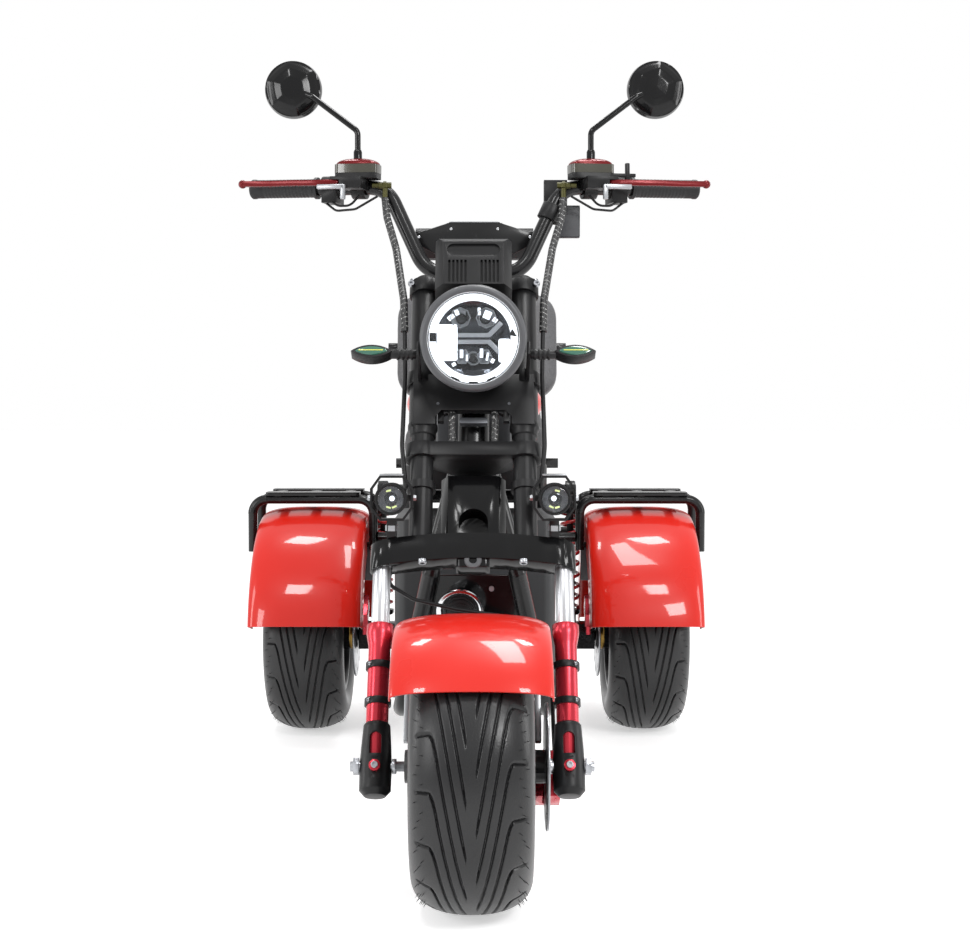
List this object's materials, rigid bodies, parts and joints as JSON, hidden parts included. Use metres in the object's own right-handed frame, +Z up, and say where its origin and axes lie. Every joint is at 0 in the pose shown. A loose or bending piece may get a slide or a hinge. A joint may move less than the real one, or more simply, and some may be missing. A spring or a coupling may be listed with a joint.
{
  "type": "electric tricycle",
  "caption": "Fat-tyred electric tricycle with a raked steerable fork, wide handlebar, bench seat with backrest, and racks over the rear fenders.",
  "frame": {"origin": "ground point under the middle of the vehicle's box", "axes": "+Z up, the vehicle faces -Y, +X to its left"},
  "size_m": [1.084, 1.8869, 1.4384],
  "materials": {
    "alloy": "black alloy",
    "black_plastic": "gloss black",
    "chrome": "polished",
    "frame": "satin black",
    "lamp_red": "gloss",
    "leather": "grained",
    "lens": "clear",
    "matte_black": "matte black",
    "motor": "cast",
    "red_anodised": "red anodised",
    "red_paint": "gloss red",
    "rubber": "matte",
    "silver": "satin",
    "tyre": "matte"
  },
  "bodies": {
    "chassis": {"frame": "frame", "neck_cover": "black_plastic", "front_shield": "black_plastic", "horn": "chrome", "deck": "matte_black", "battery_case": "matte_black", "tank_cover": "red_paint", "seat_pan": "matte_black", "seat_cushion": "leather", "backrest_cushion": "leather", "backrest_frame": "frame", "rear_fenders": "red_paint", "fender_racks": "frame", "rear_axle": "frame", "drive_motor": "motor", "rear_shocks": "silver", "rear_calipers": "red_anodised", "tail_lamps": "lamp_red"},
    "steering": {"steering_clamps": "alloy", "fork_tubes": "frame", "fork_bridge": "black_plastic", "chrome_rods": "chrome", "fork_legs": "red_anodised", "leg_caps": "matte_black", "front_axle": "silver", "front_caliper": "red_anodised", "front_fender": "red_paint", "handlebar": "frame", "grips": "rubber", "brake_masters": "matte_black", "bar_boxes": "matte_black", "reservoir_caps": "red_anodised", "brake_levers": "red_anodised", "mirrors": "black_plastic", "headlight_shell": "black_plastic", "headlight_lens": "lens", "headlight_cowl": "black_plastic", "instrument_hood": "matte_black", "front_indicators": "matte_black", "spot_lamps": "matte_black", "brake_hoses": "rubber"},
    "front_wheel": {"front_tyre": "tyre", "front_rim": "alloy"},
    "rear_left_wheel": {"rear_left_tyre": "tyre", "rear_left_rim": "alloy"},
    "rear_right_wheel": {"rear_right_tyre": "tyre", "rear_right_rim": "alloy"}
  },
  "joints": [
    {"name": "steering", "type": "hinge", "parent": "chassis", "child": "steering", "pos_m": [0, -0.68386, 0.205], "axis": [0, 0.5, 0.866], "range_deg": [-35, 35]},
    {"name": "front_wheel_spin", "type": "hinge", "parent": "steering", "child": "front_wheel", "pos_m": [0, -0.7185, 0.225], "axis": [1, 0, 0], "continuous": true},
    {"name": "rear_left_wheel_spin", "type": "hinge", "parent": "chassis", "child": "rear_left_wheel", "pos_m": [0.402, 0.6315, 0.225], "axis": [1, 0, 0], "continuous": true},
    {"name": "rear_right_wheel_spin", "type": "hinge", "parent": "chassis", "child": "rear_right_wheel", "pos_m": [-0.402, 0.6315, 0.225], "axis": [1, 0, 0], "continuous": true}
  ]
}
